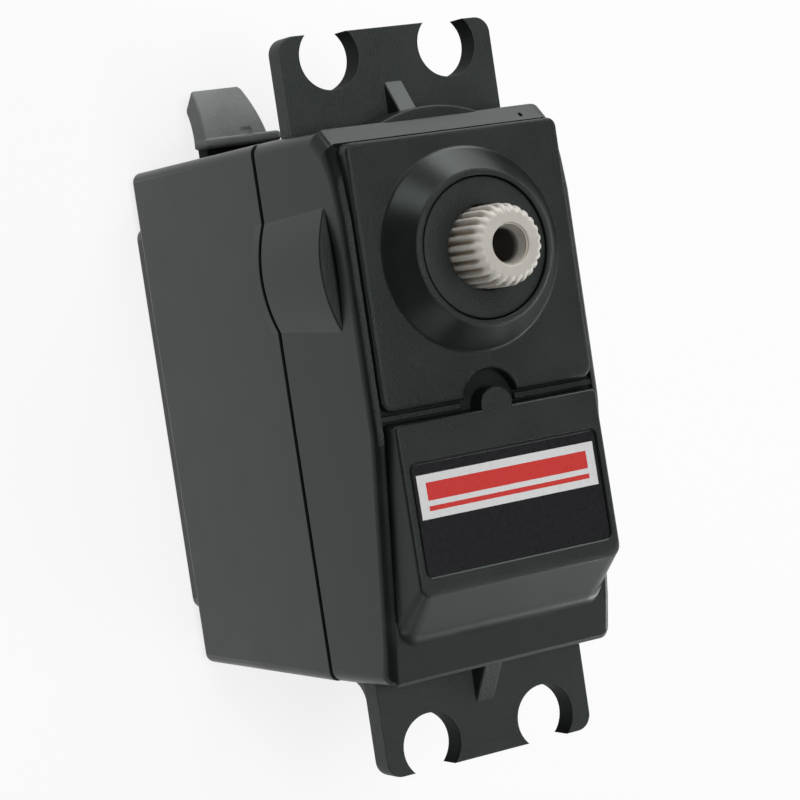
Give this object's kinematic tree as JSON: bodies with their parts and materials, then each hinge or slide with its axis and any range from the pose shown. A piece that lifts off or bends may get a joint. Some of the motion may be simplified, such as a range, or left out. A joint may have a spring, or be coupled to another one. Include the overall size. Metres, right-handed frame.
{
  "type": "servo motor",
  "caption": "Black moulded servo motor: boxy two-part case with open-slotted mounting tabs, and a small motor that turns a toothed output spline through compound gears.",
  "frame": {"origin": "middle of the bounding box at the rear face the servo stands on", "axes": "+X along the case towards the output end, +Y across the case, +Z along the output axis towards the spline"},
  "size_m": [0.055, 0.0216, 0.0408],
  "materials": {
    "case_plastic": "satin black moulding",
    "sticker": "smooth printed film",
    "rubber": "soft matt",
    "output_nylon": "satin grey-beige",
    "white_nylon": "satin off-white",
    "steel": "bright",
    "brass": "bright",
    "dark_plastic": "satin black",
    "magnet": "sintered ferrite",
    "lamination": "stacked sheet",
    "copper": "enamelled copper wire",
    "bronze": "sintered bronze",
    "carbon": "pressed carbon",
    "circuit_board": "green solder mask",
    "track_board": "brown laminate",
    "capacitor_sleeve": "shrink sleeve"
  },
  "bodies": {
    "case": {"capacitor": "capacitor_sleeve", "case_screw_1": "steel", "case_screw_2": "steel", "case_screw_3": "steel", "case_screw_4": "steel", "control_board": "circuit_board", "control_chip": "dark_plastic", "driver_chip_1": "dark_plastic", "driver_chip_2": "dark_plastic", "front_case": "case_plastic", "gear_plate": "dark_plastic", "idler_axle": "steel", "label": "sticker", "motor_brush_1": "carbon", "motor_brush_2": "carbon", "motor_can": "steel", "motor_end_cap": "white_nylon", "motor_front_bush": "bronze", "motor_magnet_1": "magnet", "motor_magnet_2": "magnet", "motor_rear_bush": "bronze", "motor_terminal_1": "brass", "motor_terminal_2": "brass", "output_bushing": "case_plastic", "pot_housing": "dark_plastic", "pot_terminal_1": "brass", "pot_terminal_2": "brass", "pot_terminal_3": "brass", "pot_track": "track_board", "rear_case": "case_plastic", "strain_relief": "rubber"},
    "rotor": {"rotor_shaft": "steel", "rotor_core": "lamination", "rotor_coil_1": "copper", "rotor_coil_2": "copper", "rotor_coil_3": "copper", "commutator": "brass", "motor_pinion": "brass"},
    "idler_1": {"idler_gear_1": "white_nylon"},
    "idler_2": {"idler_gear_2": "white_nylon"},
    "idler_3": {"idler_gear_3": "white_nylon"},
    "output": {"output_gear": "output_nylon", "pot_shaft": "white_nylon"}
  },
  "joints": [
    {"name": "motor_turn", "type": "hinge", "parent": "case", "child": "rotor", "pos_m": [-0.01115, 0, 0.022], "axis": [0, 0, 1], "range_deg": [-6480, 6480]},
    {"name": "idler_1_turn", "type": "hinge", "parent": "case", "child": "idler_1", "pos_m": [-0.0017, 0, 0.022], "axis": [0, 0, 1], "range_deg": [-1080, 1080]},
    {"name": "idler_2_turn", "type": "hinge", "parent": "case", "child": "idler_2", "pos_m": [0.0103, 0, 0.022], "axis": [0, 0, 1], "range_deg": [-360, 360]},
    {"name": "idler_3_turn", "type": "hinge", "parent": "case", "child": "idler_3", "pos_m": [-0.0017, 0, 0.022], "axis": [0, 0, 1], "range_deg": [-180, 180]},
    {"name": "output_turn", "type": "hinge", "parent": "case", "child": "output", "pos_m": [0.0103, 0, 0.022], "axis": [0, 0, 1], "range_deg": [-60, 60]}
  ],
  "couplings": [
    {"joint": "idler_1_turn", "follows": "motor_turn", "ratio": -0.16667},
    {"joint": "idler_2_turn", "follows": "motor_turn", "ratio": 0.055556},
    {"joint": "idler_3_turn", "follows": "motor_turn", "ratio": -0.027778},
    {"joint": "output_turn", "follows": "motor_turn", "ratio": 0.0092593}
  ]
}
